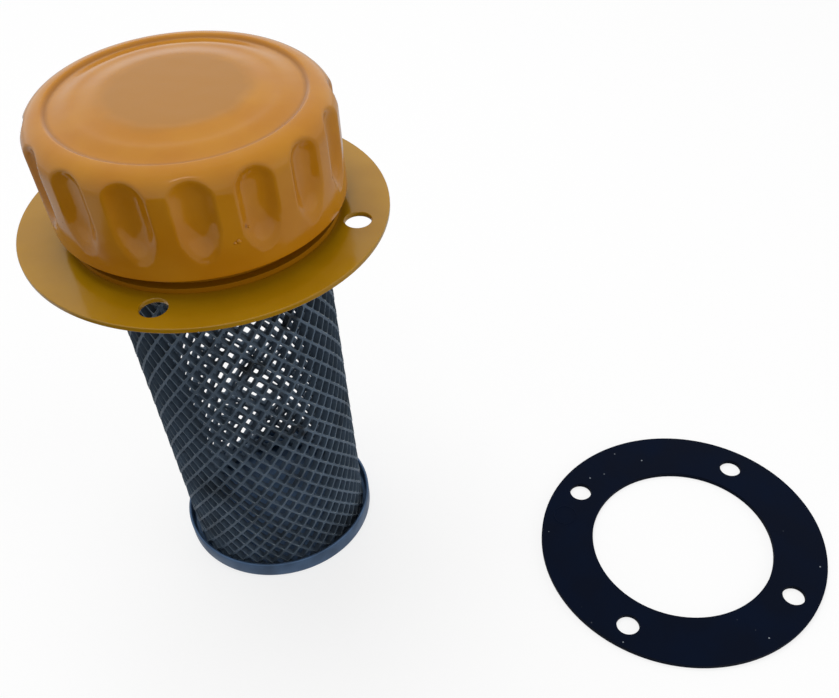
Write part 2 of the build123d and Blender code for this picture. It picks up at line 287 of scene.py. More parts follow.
@dataclass(frozen=True)
class StoveEnamel(Finish):
    """Stove enamel sprayed on pressed steel.

    The eye sees a deep ochre that goes paler where the film is thin, a glossy skin
    with a slight orange peel, and a few dark specks of dust baked into it.
    """

    colour: str
    thin: str
    corner_shade: str
    speck: str
    groove_shade: str | None = None  # colour of painted shade: a dark ring along the pressed groove
    groove_shading: float = 0.55  # how much of it shows
    groove_radius: float = 26.3
    groove_shade_in: tuple[float, float] = (-0.9, 0.0)  # where it sets in, from the groove's radius
    groove_shade_out: tuple[float, float] = (0.1, 0.7)  # where it ends, from the groove's radius
    handled: str | None = None  # colour of a disc about the axis that hands have dulled
    handled_radius: float = 16.0
    handled_fade: tuple[float, float] = (-2.5, 1.5)  # where it ends, from that radius
    handled_wave: float = 5.0  # width of one wave of its ragged edge
    handled_stray: float = 0.7  # how far that edge strays to each side
    roughness: float = 0.14
    ior: float = 1.4
    corner_shading: float = 0.8  # how much of the painted shade shows in corners
    corner_reach: float = 5.0  # how far a wall may stand for a place to count as a corner
    corner_fade: tuple[float, float] = (0.35, 0.95)  # open share of a corner and of a free face
    patch: float = 11.0  # width of a patch of thinner paint
    patch_fade: tuple[float, float] = (0.38, 0.66)
    gloss_patch: float = 6.6  # width of a patch of duller paint
    peel: float = 1.6  # width of one orange-peel wave
    peel_depth: float = 0.009
    sag: float = 7.0  # width of one slow wave, where the coat sagged
    sag_depth: float = 0.08
    speck_gap: float = 14.0  # from one speck to the next
    speck_size: float = 0.013  # speck's radius as a share of the gap
    speck_edge: float = 1.6  # where a speck has faded out, in its radii
    speck_share: float = 0.85  # how dark a speck is
    speck_height: float = 0.06

    def surface(self, tree: Tree) -> Socket:
        """Enamel from its patches, handling, painted shade in the groove and in corners, specks and
        orange peel.

        Args:
            tree: The material's empty node tree.

        Returns:
            The surface output.
        """
        add = partial(add_node, tree)
        at = add("ShaderNodeTexCoord").outputs["Object"]
        layers = [(self.patches(tree, at, self.patch, 3.0, self.patch_fade), self.thin)]
        if self.handled:
            layers.append((self.handled_share(tree, at), self.handled))
        # Painted shade: a dark ring along the pressed groove.
        if self.groove_shade:
            layers.append((self.groove_shade_share(tree, at), self.groove_shade))
        # Painted shade: the enamel darkens in corners, after ambient occlusion.
        reach = {"Distance": self.corner_reach * MM}
        open_air = add("ShaderNodeAmbientOcclusion", reach, samples=6).outputs["AO"]
        corners = (open_air, *self.corner_fade, self.corner_shading, 0.0)
        layers.append((add("ShaderNodeMapRange", corners).outputs[0], self.corner_shade))
        cells = {"Vector": at, "Scale": 1 / (self.speck_gap * MM)}
        away = add("ShaderNodeTexVoronoi", cells).outputs["Distance"]
        dot = (away, self.speck_size, self.speck_size * self.speck_edge, self.speck_share, 0.0)
        specks = add("ShaderNodeMapRange", dot).outputs[0]
        layers.append((specks, self.speck))
        bumps = []
        for wave, depth in ((self.sag, self.sag_depth), (self.peel, self.peel_depth)):
            waves = {"Vector": at, "Scale": 1 / (wave * MM), "Detail": 1.0}
            bumps.append((add("ShaderNodeTexNoise", waves).outputs["Fac"], depth))
        bumps.append((specks, self.speck_height))
        gloss = (self.roughness * 0.8, self.roughness * 1.25)
        skin = {
            "Base Color": self.layered(tree, self.colour, layers),
            "Roughness": self.patches(tree, at, self.gloss_patch, 2.0, (0.3, 0.7), gloss),
            "IOR": self.ior,
            "Normal": self.embossed(tree, bumps),
        }
        return add("ShaderNodeBsdfPrincipled", skin).outputs["BSDF"]

    def handled_share(self, tree: Tree, at: Socket) -> Socket:
        """How much a point was handled: a disc about the axis, with a ragged edge.

        Args:
            tree: The node tree.
            at: Coordinates in metres.

        Returns:
            The share, from 0 to 1.
        """
        radius = self.from_axis(tree, at)
        fade = tuple(self.handled_radius + side for side in self.handled_fade)
        return self.spot(tree, at, radius, fade, 1.0, self.handled_wave, self.handled_stray)

    def groove_shade_share(self, tree: Tree, at: Socket) -> Socket:
        """How much painted shade lies at a point: a dark ring along the pressed groove.

        Args:
            tree: The node tree.
            at: Coordinates in metres.

        Returns:
            The share, from 0 to the strength of the painted groove shade.
        """
        radius = self.from_axis(tree, at)
        sides = []
        for fade, ends in ((self.groove_shade_in, (0.0, self.groove_shading)), (self.groove_shade_out, (1.0, 0.0))):
            reach = [(self.groove_radius + side) * MM for side in fade]
            sides.append(add_node(tree, "ShaderNodeMapRange", (radius, *reach, *ends)).outputs[0])
        return add_node(tree, "ShaderNodeMath", sides, operation="MULTIPLY").outputs[0]


@dataclass(frozen=True)
class RolledSteel(Finish):
    """Cold-rolled steel sheet, blued, oiled or zinc-plated.

    The eye sees a metal with cloudy patches and fine scratches along its rolling
    direction, duller where dirt or oxide sits on it.
    """

    colour: str
    cloud: str
    dirt: str
    roughness: float = 0.42
    specular: float = 0.5
    metallic: float = 1.0
    patch: float = 7.0  # width of a cloudy patch
    patch_fade: tuple[float, float] = (0.36, 0.68)
    grain: float = 0.25  # width of a rolling scratch, coarser than life so that it shows
    grain_depth: float = 0.006
    stretch: tuple[float, float, float] = (1.0, 1.0, 0.12)
    soil: float = 0.5  # how much of the dirt shows
    soil_fade: tuple[float, float] = (0.5, 0.72)
    soil_spread: float = 1.9  # width of a patch of dirt, in cloudy patches
    edge_highlight: str | None = None  # colour of a painted highlight on the outermost edges, far from the axis
    highlight_from: float = 25.44  # distance from the axis where the painted highlight starts
    highlight_to: float = 25.54
    clots: tuple[tuple[float, float, float], ...] = ()  # places of caked dirt
    clot_size: float = 3.2  # radius where a clot has faded out
    clot_core: float = 0.5  # share of that radius where it starts to fade
    clot_share: float = 0.85  # how much of its colour a clot shows
    clot_wave: float = 2.5  # width of one wave of its ragged edge
    clot_stray: float = 1.5  # how far that edge strays to each side

    def surface(self, tree: Tree) -> Socket:
        """Steel from its clouds, dirt, painted highlight on outer edges, clots and scratches.

        Args:
            tree: The material's empty node tree.

        Returns:
            The surface output.
        """
        add = partial(add_node, tree)
        at = add("ShaderNodeTexCoord").outputs["Object"]
        clouds = self.patches(tree, at, self.patch, 4.0, self.patch_fade)
        width = self.patch * self.soil_spread
        soil = self.patches(tree, at, width, 5.0, self.soil_fade, (0.0, self.soil))
        layers = [(clouds, self.cloud), (soil, self.dirt)]
        # Painted highlight: the outermost faces, far from the axis, are made pale.
        if self.edge_highlight:
            edges = (self.from_axis(tree, at), self.highlight_from * MM, self.highlight_to * MM)
            layers.append((add("ShaderNodeMapRange", edges).outputs[0], self.edge_highlight))
        layers += [(self.caked(tree, at, spot), self.dirt) for spot in self.clots]
        along = add("ShaderNodeMapping", {"Vector": at, "Scale": self.stretch}).outputs[0]
        scratches = {"Vector": along, "Scale": 1 / (self.grain * MM), "Detail": 2.0}
        lines = add("ShaderNodeTexNoise", scratches).outputs["Fac"]
        gloss = (clouds, 0.0, 1.0, self.roughness * 0.85, self.roughness * 1.2)
        skin = {
            "Base Color": self.layered(tree, self.colour, layers),
            "Metallic": self.metallic,
            "Specular IOR Level": self.specular,
            "Roughness": add("ShaderNodeMapRange", gloss).outputs[0],
            "Normal": self.embossed(tree, [(lines, self.grain_depth)]),
        }
        return add("ShaderNodeBsdfPrincipled", skin).outputs["BSDF"]

    def caked(self, tree: Tree, at: Socket, middle: tuple[float, float, float]) -> Socket:
        """How much dirt is caked round one place.

        Args:
            tree: The node tree.
            at: Coordinates in metres.
            middle: Middle of the clot, in millimetres.

        Returns:
            The share, from 0 to the finish's clot_share.
        """
        ends = (at, tuple(Vector(middle) * MM))
        away = add_node(tree, "ShaderNodeVectorMath", ends, operation="DISTANCE").outputs["Value"]
        fade = (self.clot_core * self.clot_size, self.clot_size)
        return self.spot(tree, at, away, fade, self.clot_share, self.clot_wave, self.clot_stray)


@dataclass(frozen=True)
class SheetRubber(Finish):
    """Vulcanised rubber, calendered to a sheet or moulded.

    The eye sees a near-black surface with a weak sheen, a fine grain, and pale dust.
    """

    colour: str
    bloom: str
    dust: str
    roughness: float = 0.6
    ior: float = 1.52
    specular: float = 0.06
    patch: float = 16.0  # width of a patch of bloom
    patch_fade: tuple[float, float] = (0.4, 0.68)
    grain: float = 0.5
    grain_depth: float = 0.01
    dust_gap: float = 4.0  # from one grain of dust to the next
    dust_size: float = 0.07  # dust's radius as a share of the gap
    dust_kept: tuple[float, float] = (0.5, 0.8)  # chance below which a grain is left out, or pale

    def surface(self, tree: Tree) -> Socket:
        """Rubber from its bloom, grain and dust.

        Args:
            tree: The material's empty node tree.

        Returns:
            The surface output.
        """
        add = partial(add_node, tree)
        at = add("ShaderNodeTexCoord").outputs["Object"]
        bloom = self.patches(tree, at, self.patch, 3.0, self.patch_fade)
        cells = {"Vector": at, "Scale": 1 / (self.dust_gap * MM)}
        voronoi = add("ShaderNodeTexVoronoi", cells).outputs
        dot = (voronoi["Distance"], self.dust_size * 0.5, self.dust_size, 1.0, 0.0)
        chance = add("ShaderNodeSeparateColor", {"Color": voronoi["Color"]}).outputs[0]
        kept = (chance, *self.dust_kept)
        both = [add("ShaderNodeMapRange", part).outputs[0] for part in (dot, kept)]
        dust = add("ShaderNodeMath", both, operation="MULTIPLY").outputs[0]
        fine = {"Vector": at, "Scale": 1 / (self.grain * MM), "Detail": 3.0}
        grain = add("ShaderNodeTexNoise", fine).outputs["Fac"]
        gloss = (bloom, 0.0, 1.0, self.roughness, self.roughness * 1.2)
        skin = {
            "Base Color": self.layered(tree, self.colour, [(bloom, self.bloom), (dust, self.dust)]),
            "Roughness": add("ShaderNodeMapRange", gloss).outputs[0],
            "IOR": self.ior,
            "Specular IOR Level": self.specular,
            "Normal": self.embossed(tree, [(grain, self.grain_depth)]),
        }
        return add("ShaderNodeBsdfPrincipled", skin).outputs["BSDF"]


@dataclass(frozen=True)
class ReticulatedFoam(Finish):
    """Open-cell polyurethane foam: pale ribs around pores darkened with painted shade."""

    rib: str
    pore_shade: str
    cell: float = 1.3  # width of one pore
    pore_fade: tuple[float, float] = (0.1, 0.6)  # from a pore's middle to its ribs
    pore_depth: float = 0.4
    roughness: float = 0.95

    def surface(self, tree: Tree) -> Socket:
        """Foam from its pores, with painted shade in each pore.

        Args:
            tree: The material's empty node tree.

        Returns:
            The surface output.
        """
        add = partial(add_node, tree)
        at = add("ShaderNodeTexCoord").outputs["Object"]
        cells = {"Vector": at, "Scale": 1 / (self.cell * MM)}
        away = add("ShaderNodeTexVoronoi", cells).outputs["Distance"]
        # Painted shade: darker towards each pore's middle.
        pore_shading = add("ShaderNodeMapRange", (away, *self.pore_fade, 1.0, 0.0)).outputs[0]
        skin = {
            "Base Color": self.layered(tree, self.rib, [(pore_shading, self.pore_shade)]),
            "Roughness": self.roughness,
            "Normal": self.embossed(tree, [(away, self.pore_depth)]),
        }
        return add("ShaderNodeBsdfPrincipled", skin).outputs["BSDF"]


FINISHES: dict[Slot, Finish] = {
    # Ochre stove enamel, baked on a deep-pressed cap: warm, glossy, paler on its crown.
    Slot.CAP_PAINT: StoveEnamel(
        "stove_enamel_cap",
        colour="#C07C0A",
        thin="#C68412",
        # Painted shade: the darker colour that corners get.
        corner_shade="#A86604",
        speck="#3A2A12",
        # Painted shade: a dark ring along the crown's groove.
        groove_shade="#845008",
        handled="#B27610",
    ),
    # The same enamel on flat sheet: a thinner coat that reads a little greener.
    Slot.PAINT: StoveEnamel(
        # Its darker colour for corners is painted shade.
        "stove_enamel_flange", colour="#AA7C08", thin="#B0820E", corner_shade="#A07208", speck="#33260F"
    ),
    # Enamel on the neck, given a darker ochre as painted shade under the cap's skirt, and duller.
    Slot.NECK_PAINT: StoveEnamel(
        "stove_enamel_neck_shaded",
        colour="#A46C06",
        thin="#A8720A",
        # Painted shade: the darker colour that corners get.
        corner_shade="#9C6404",
        speck="#33260F",
        roughness=0.5,
        ior=1.2,
    ),
    # Zinc-plated sheet steel: pale silver with a faint cloud.
    Slot.PLATED: RolledSteel(
        "zinc_plated_steel", colour="#B4B8BC", cloud="#9CA2A8", dirt="#5C5A54", roughness=0.34
    ),
    # Drawn spring wire, oiled: grey steel with drawing lines.
    Slot.SPRING: RolledSteel(
        "drawn_spring_wire", colour="#8A8E92", cloud="#6E7276", dirt="#3A3630", patch=2.0
    ),
    # Slit and expanded steel under a film of oxide and oil, which hides most of the
    # metal: slate strands, black soil, and a painted highlight on the outer edges.
    Slot.MESH: RolledSteel(
        "expanded_steel_oxide",
        colour="#5C6D7F",
        cloud="#4E5D6D",
        dirt="#1A1B1C",
        roughness=0.55,
        specular=0.2,
        metallic=0.1,
        patch=9.0,
        soil=0.7,
        # Painted highlight on the outer edges.
        edge_highlight="#A2AEB5",
        clots=((18.3, -18.3, 53.5), (11.8, -22.7, 79.6), (20.5, -15.3, 88.0)),
    ),
    # Deep-drawn steel, blued in its oven: smooth blue-grey.
    Slot.BLUED: RolledSteel(
        "drawn_blued_steel",
        colour="#4C6686",
        cloud="#425A78",
        dirt="#363F49",
        metallic=0.6,
        stretch=(1.0, 1.0, 1.0),
        soil=0.45,
    ),
    # Calendered nitrile sheet, punched: near black with a blue cast, dusty.
    Slot.GASKET: SheetRubber("nitrile_sheet", colour="#02091A", bloom="#050F22", dust="#9AA2AA"),
    # Moulded nitrile ring: plain matt black.
    Slot.SEAL: SheetRubber(
        "moulded_nitrile", colour="#161616", bloom="#1E1E1D", dust="#3A3A38", roughness=0.7
    ),
    # Filter foam, oil-stained: buff, with painted shade in its pores.
    Slot.FOAM: ReticulatedFoam("reticulated_foam", rib="#9A9484", pore_shade="#3C382E"),
}
_made: dict[Slot, bpy.types.Material] = {}


def material_for(slot: Slot) -> bpy.types.Material:
    """The one material of a slot, built the first time that it is asked for.

    Args:
        slot: Material slot.

    Returns:
        Its material.
    """
    if slot not in _made:
        _made[slot] = FINISHES[slot].make()
    return _made[slot]


# ---------------------------------------------------------------- mesh helpers
def to_object(bm: bmesh.types.BMesh, name: str, material: bpy.types.Material) -> bpy.types.Object:
    """Turn a bmesh, in metres, into an object at the origin.

    Args:
        bm: The shape, freed here.
        name: Name of the object and its mesh.
        material: What it is dressed in.

    Returns:
        The new object.
    """
    mesh = bpy.data.meshes.new(name)
    bm.to_mesh(mesh)
    bm.free()
    mesh.materials.append(material)
    made = bpy.data.objects.new(name, mesh)
    bpy.context.scene.collection.objects.link(made)
    return made


def to_piece(
    bm: bmesh.types.BMesh, name: str, slot: Slot, body: Body, smooth: bool = True
) -> bpy.types.Object:
    """Turn a bmesh, in metres, into a finished piece that rides on a body.

    Args:
        bm: The shape, freed here.
        name: Name of the piece.
        slot: Material slot that it is dressed in.
        body: Body that carries it.
        smooth: Whether its faces are shaded as one rounded surface.

    Returns:
        The new piece.
    """
    bmesh.ops.recalc_face_normals(bm, faces=bm.faces)
    for face in bm.faces:
        face.smooth = smooth
    piece = to_object(bm, name, material_for(slot))
    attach(piece, body.value)
    return piece


def new_verts(made: dict[str, list]) -> list[bmesh.types.BMVert]:
    """The vertices among what an operator made."""
    return [part for part in made["geom"] if isinstance(part, bmesh.types.BMVert)]


def dress(node: str, slot: Slot) -> None:
    """Give a CAD node its material in every slot of its mesh.

    Args:
        node: CAD node that is shown as it is.
        slot: Material slot that it is dressed in.
    """
    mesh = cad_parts[node].data
    mesh.materials.clear()
    mesh.materials.append(material_for(slot))
    log.info("dressed %s in %s", node, slot.value)


def arc_points(
    centre: tuple[float, float], radius: float, start: float, end: float, steps: int
) -> list[tuple[float, float]]:
    """Points along an arc of a half section.

    Args:
        centre: Arc's centre.
        radius: Arc's radius.
        start: First angle.
        end: Last angle.
        steps: Number of chords.

    Returns:
        The points, both ends included.
    """
    turns = [radians(start + (end - start) * k / steps) for k in range(steps + 1)]
    return [(centre[0] + radius * cos(t), centre[1] + radius * sin(t)) for t in turns]


def lathe(outline: Iterable[tuple[float, float]], steps: int, closed: bool) -> bmesh.types.BMesh:
    """Spin a half section about the vertical axis.

    Args:
        outline: Points (radius, height) in millimetres.
        steps: Number of segments around.
        closed: Whether the last point joins the first.

    Returns:
        The spun shape, in metres.
    """
    bm = bmesh.new()
    points = [bm.verts.new((r * MM, 0, z * MM)) for r, z in outline]
    pairs = list(zip(points, points[1:]))
    if closed:
        pairs.append((points[-1], points[0]))
    edges = [bm.edges.new(pair) for pair in pairs]
    bmesh.ops.spin(
        bm,
        geom=points + edges,
        cent=(0, 0, 0),
        axis=(0, 0, 1),
        dvec=(0, 0, 0),
        angle=2 * pi,
        steps=steps,
        use_merge=True,
    )
    bmesh.ops.remove_doubles(bm, verts=bm.verts, dist=0.002 * MM)
    return bm


def softened(node: str, name: str, slot: Slot, body: Body, radius: float) -> None:
    """Make a copy of a CAD node with its sharp edges rounded, standing for that node.

    Args:
        node: CAD node to copy.
        name: Name of the new piece.
        slot: Material slot.
        body: Body that carries it.
        radius: Rounding in millimetres.
    """
    bm = bmesh.new()
    bm.from_mesh(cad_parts[node].data)
    bmesh.ops.remove_doubles(bm, verts=bm.verts, dist=0.004 * MM)
    bmesh.ops.dissolve_limit(
        bm, angle_limit=radians(FLAT), verts=bm.verts, edges=bm.edges, use_dissolve_boundaries=False
    )
    joins = [edge for edge in bm.edges if len(edge.link_faces) == 2]
    bmesh.ops.bevel(
        bm,
        geom=[edge for edge in joins if edge.calc_face_angle(0) > radians(SHARP)],
        offset=radius * MM,
        offset_type="OFFSET",
        segments=2,
        profile=0.5,
        affect="EDGES",
        material=-1,
        clamp_overlap=True,
    )
    piece = to_piece(bm, name, slot, body)
    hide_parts(node)
    piece.modifiers.new("face_normals", "WEIGHTED_NORMAL").keep_sharp = True
    log.info("%s stands for %s, edges rounded %.2f mm", name, node, radius)


# ---------------------------------------------------------------- sub-assemblies
@dataclass
class FlutedCap:
    """Pressed sheet-steel cap: shoulder, ring groove, sloping ring, disc and flutes."""

    sheet: float = 1.0
    edge: float = 0.45  # rounding of the skirt's lower edge
    shoulder: float = 5.0
    crown: float = 1.2  # width of the ring from the shoulder to the groove
    groove_depth: float = 0.6
    slope: float = 7.1  # width of the sloping ring
    slope_rise: float = 0.9
    step: float = 3.0  # width of the step up to the disc
    step_rise: float = 0.7
    step_spread: float = 1.9  # how far the pressed step spreads outwards
    flute_count: int = 16
    flute_depth: float = 2.2
    flute_radius: float = 6.0
    flute_phase: float = -68.9  # where one flute lies round the cap
    flute_low: float = 12.0  # where the flutes start, above the skirt's edge
    flute_length: float = 5.8
    flute_flat: float = 2.8  # power of the flute's section: 2 is round, more is a flat floor
    flute_run_out: float = 8.0  # how far a flute takes to fade out at its lower end
    run_out_ease: float = 0.8  # how much more softly it ends there
    land_blend: float = 0.9  # how softly a land rolls into its flutes
    around: int = 448  # segments, 28 to a flute
    rows: int = 32  # rings of faces up the skirt
    rings: int = 6  # rings of faces across the disc
    nibs: tuple[tuple[float, float, float], ...] = (  # each one's turn, height and radius
        (-56.2, 7.4, 0.6),
        (-57.6, 7.2, 0.4),
        (-51.7, 9.9, 0.3),
    )
    nib_sunk: float = 0.35  # share of a nib's radius that lies under the skirt's surface
    outer: float = field(init=False)
    low: float = field(init=False)
    top: float = field(init=False)
    crown_z: float = field(init=False)

    def __post_init__(self) -> None:
        """Take the cap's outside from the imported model."""
        lowest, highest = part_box("cap_cover")
        self.outer = highest.x / MM
        self.low = lowest.z / MM
        self.top = highest.z / MM
        self.crown_z = self.top - self.step_rise - self.slope_rise + self.groove_depth

    def top_line(self) -> list[tuple[float, float]]:
        """Half section of the top, with every leg easing into the next one.

        Returns:
            Points (radius, height) from the shoulder's crown to the axis.
        """
        crown_r = self.outer - self.shoulder
        groove_r = crown_r - self.crown
        slope_r = groove_r - self.slope + self.step_spread
        disc_r = groove_r - self.slope - self.step - self.step_spread / 2
        groove_z = self.crown_z - self.groove_depth
        slope_z = groove_z + self.slope_rise
        legs = [
            ((crown_r, self.crown_z), (groove_r, groove_z), 8),
            ((groove_r, groove_z), (slope_r, slope_z), 10),
            ((slope_r, slope_z), (disc_r, self.top), 12),
        ]
        line = []
        for (r0, z0), (r1, z1), steps in legs:
            for k in range(steps):
                share = k / steps
                ease = share * share * (3 - 2 * share)
                line.append((r0 + (r1 - r0) * share, z0 + (z1 - z0) * ease))
        return line + [(disc_r * (1 - k / self.rings), self.top) for k in range(self.rings + 1)]

    def press_flutes(self, bm: bmesh.types.BMesh) -> None:
        """Push the skirt inwards where each flute is pressed, with rolled lands.

        Args:
            bm: The cap's plain outside, in metres.
        """
        axis_r = self.outer - self.flute_depth + self.flute_radius
        half = sqrt(self.flute_radius**2 - (self.flute_radius - self.flute_depth) ** 2)
        low = self.low + self.flute_low
        high = low + self.flute_length
        pitch = 2 * pi / self.flute_count
        for vert in bm.verts:
            r = hypot(vert.co.x, vert.co.y) / MM
            z = vert.co.z / MM
            if r < self.outer - self.shoulder:
                continue
            turn = atan2(vert.co.y, vert.co.x) - radians(self.flute_phase)
            off = (turn + pitch / 2) % pitch - pitch / 2
            across = axis_r * sin(off) / half
            fade = max((low - z) / self.flute_run_out, 0)
            share = hypot(across, fade, max((z - high) / half, 0))
            if share >= 1:
                continue
            power = self.flute_flat + (2 - self.flute_flat) * fade
            depth = self.flute_depth * (1 - share**power) ** (1 + self.run_out_ease * fade)
            floor_r = self.outer - depth
            near = max(self.land_blend - abs(r - floor_r), 0) / self.land_blend
            pressed = min(r, floor_r) - near * near * self.land_blend / 4
            vert.co.x *= pressed / r
            vert.co.y *= pressed / r

    def shell(self) -> None:
        """Spin the cap's outside, press its flutes and give it its wall."""
        start = self.low + self.edge
        end = self.crown_z - self.shoulder
        roll = arc_points((self.outer - self.edge, start), self.edge, -70, 0, 4)
        rise = (end - start) / self.rows
        skirt = [(self.outer, start + rise * k) for k in range(1, self.rows)]
        arc = arc_points((self.outer - self.shoulder, end), self.shoulder, 0, 88, 14)
        bm = lathe(roll + skirt + arc + self.top_line(), self.around, closed=False)
        self.press_flutes(bm)
        piece = to_piece(bm, "cap_shell", Slot.CAP_PAINT, Body.CAP)
        wall = piece.modifiers.new("sheet", "SOLIDIFY")
        wall.thickness = self.sheet * MM
        wall.offset = -1
        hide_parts("cap_cover")
        log.info("cap_shell: radius %.1f mm, %d flutes", self.outer, self.flute_count)

    def dirt_nibs(self) -> None:
        """Set the nibs of dirt that the enamel has run over on the skirt."""
        bm = bmesh.new()
        for turn, height, size in self.nibs:
            ball = bmesh.ops.create_icosphere(bm, subdivisions=2, radius=size * MM)
            spot = Vector((self.outer - size * self.nib_sunk, 0, self.low + height)) * MM
            spot.rotate(Matrix.Rotation(radians(turn), 3, "Z"))
            bmesh.ops.translate(bm, vec=spot, verts=ball["verts"])
        to_piece(bm, "paint_nibs", Slot.CAP_PAINT, Body.CAP)
        log.info("paint_nibs: %d", len(self.nibs))

    def build(self) -> None:
        """Build the shell and the nibs in its paint."""
        self.shell()
        self.dirt_nibs()


@dataclass
class MountingFlange:
    """Flat pressed ring with its bolt holes, and the neck that stands on it."""

    edge: float = 0.25

    def build(self) -> None:
        """Round the flange's and the neck's edges."""
        softened("mounting_flange", "flange_plate", Slot.PAINT, Body.BASE, self.edge)
        softened("filler_neck", "neck_ring", Slot.NECK_PAINT, Body.BASE, self.edge)


@dataclass
class ExpandedTube:
    """Tube rolled from slit and expanded steel sheet."""

    columns: int = 36
    rows: int = 19
    strand: float = 0.62  # width of a strand, seen from outside
    depth: float = 1.65  # strand's depth through the tube's wall, where it stands on edge
    rim_depth: float = 1.3  # strand's depth inside the rim, where it is pressed flat
    rim_height: float = 10.0  # how far down from the tube's top the rim presses it
    rim_blend: float = 3.0  # how far below the rim the strands take to stand up
    tilt: float = 0.15  # how far a strand's upper edge stands out
    lean_rate: float = 2.5  # how soon after its knuckle a strand leans fully
    wander: float = 0.04  # how far a knuckle strays from the even pattern
    corner: float = 0.45  # rounding of a diamond's corners
    merge: float = 0.05  # vertices nearer than this are one
    seed: int = 7

    def diamond(self, bm: bmesh.types.BMesh, width: float, height: float) -> list:
        """Make one diamond's frame, flat, in millimetres.

        Args:
            bm: Mesh to build in.
            width: Diamond's width.
            height: Diamond's height.

        Returns:
            Its geometry.
        """
        made = bmesh.ops.create_circle(bm, segments=4, radius=0.5, cap_ends=True)
        bmesh.ops.scale(bm, vec=(width, height, 1), verts=made["verts"])
        middle = bm.faces[:]
        bmesh.ops.inset_individual(bm, faces=middle, thickness=self.strand / 2, use_even_offset=True)
        bmesh.ops.bevel(
            bm,
            geom=list(middle[0].verts),
            offset=self.corner,
            offset_type="OFFSET",
            segments=2,
            profile=0.5,
            affect="VERTICES",
            material=-1,
        )
        hole = max(bm.faces, key=lambda face: len(face.verts) * 100 + face.calc_area())
        for vert in hole.verts:
            lean = max(-1, min(1, self.lean_rate * vert.co.y / (height / 2)))
            vert.co.z = -self.tilt * lean
        bmesh.ops.delete(bm, geom=[hole], context="FACES_ONLY")
        return bm.verts[:] + bm.edges[:] + bm.faces[:]

    @staticmethod
    def repeat(bm: bmesh.types.BMesh, geom: list, step: Vector, count: int) -> None:
        """Copy geometry along a step.

        Args:
            bm: Mesh that holds it.
            geom: What is copied.
            step: From one copy to the next.
            count: How many there are in the end, the first one included.
        """
        for k in range(1, count):
            made = bmesh.ops.duplicate(bm, geom=geom)
            bmesh.ops.translate(bm, vec=step * k, verts=new_verts(made))

    def expand(self, bm: bmesh.types.BMesh, width: float, height: float) -> None:
        """Lay diamonds over a flat sheet, every other row half a diamond aside.

        Args:
            bm: Mesh to build in, in millimetres.
            width: Diamond's width.
            height: Diamond's height.
        """
        cell = self.diamond(bm, width, height)
        self.repeat(bm, cell, Vector((width, 0, 0)), self.columns)
        made = bmesh.ops.duplicate(bm, geom=bm.verts[:] + bm.edges[:] + bm.faces[:])
        bmesh.ops.translate(bm, vec=(width / 2, height / 2, 0), verts=new_verts(made))
        pair = bm.verts[:] + bm.edges[:] + bm.faces[:]
        self.repeat(bm, pair, Vector((0, height, 0)), self.rows + 1)
        bmesh.ops.remove_doubles(bm, verts=bm.verts, dist=self.merge)

    @staticmethod
    def trim(bm: bmesh.types.BMesh, length: float) -> None:
        """Cut the flat sheet off square at both ends.

        Args:
            bm: The sheet, in millimetres.
            length: What is left of it.
        """
        for level, away in ((0.0, -1), (length, 1)):
            bmesh.ops.bisect_plane(
                bm,
                geom=bm.verts[:] + bm.edges[:] + bm.faces[:],
                plane_co=(0, level, 0),
                plane_no=(0, away, 0),
                clear_outer=True,
            )

    def roll(self, bm: bmesh.types.BMesh, radius: float, low: float) -> None:
        """Bend the flat sheet round the tube, with knuckles that stray a little.

        Args:
            bm: The sheet, in millimetres, and in metres afterwards.
            radius: Tube's radius.
            low: Height of its lower end.
        """
        rng = random.Random(self.seed)
        deepest = self.tilt + self.wander
        for vert in bm.verts:
            flat = vert.co.copy()
            out = radius - deepest + flat.z + rng.uniform(-self.wander, self.wander)
            turn = flat.x / radius
            vert.co = Vector((out * cos(turn), out * sin(turn), low + flat.y)) * MM
        bmesh.ops.remove_doubles(bm, verts=bm.verts, dist=self.merge * MM)

    def thicken(self, bm: bmesh.types.BMesh, high: float) -> None:
        """Give the rolled sheet its wall, straight in towards the axis.

        Args:
            bm: Rolled sheet, in metres.
            high: Height of the tube's top, in millimetres.
        """
        loose = [vert for vert in bm.verts if not vert.link_faces]
        bmesh.ops.delete(bm, geom=loose, context="VERTS")
        made = bmesh.ops.extrude_face_region(bm, geom=bm.faces[:], use_keep_orig=True)
        for vert in new_verts(made):
            below = high - vert.co.z / MM - self.rim_height
            share = min(max(below / self.rim_blend, 0), 1)
            depth = (self.rim_depth + (self.depth - self.rim_depth) * share) * MM
            out = hypot(vert.co.x, vert.co.y)
            vert.co.x *= 1 - depth / out
            vert.co.y *= 1 - depth / out

    def build(self) -> None:
        """Expand the sheet, cut it to length, roll it up and thicken its strands."""
        lowest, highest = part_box("strainer_mesh")
        radius, low, high = highest.x / MM, lowest.z / MM, highest.z / MM
        bm = bmesh.new()
        self.expand(bm, 2 * pi * radius / self.columns, (high - low) / self.rows)
        self.trim(bm, high - low)
        self.roll(bm, radius, low)
        self.thicken(bm, high)
        piece = to_piece(bm, "expanded_tube", Slot.MESH, Body.BASE, smooth=False)
        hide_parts("strainer_mesh")
        log.info("expanded_tube: %d by %d diamonds", self.columns, 2 * self.rows)


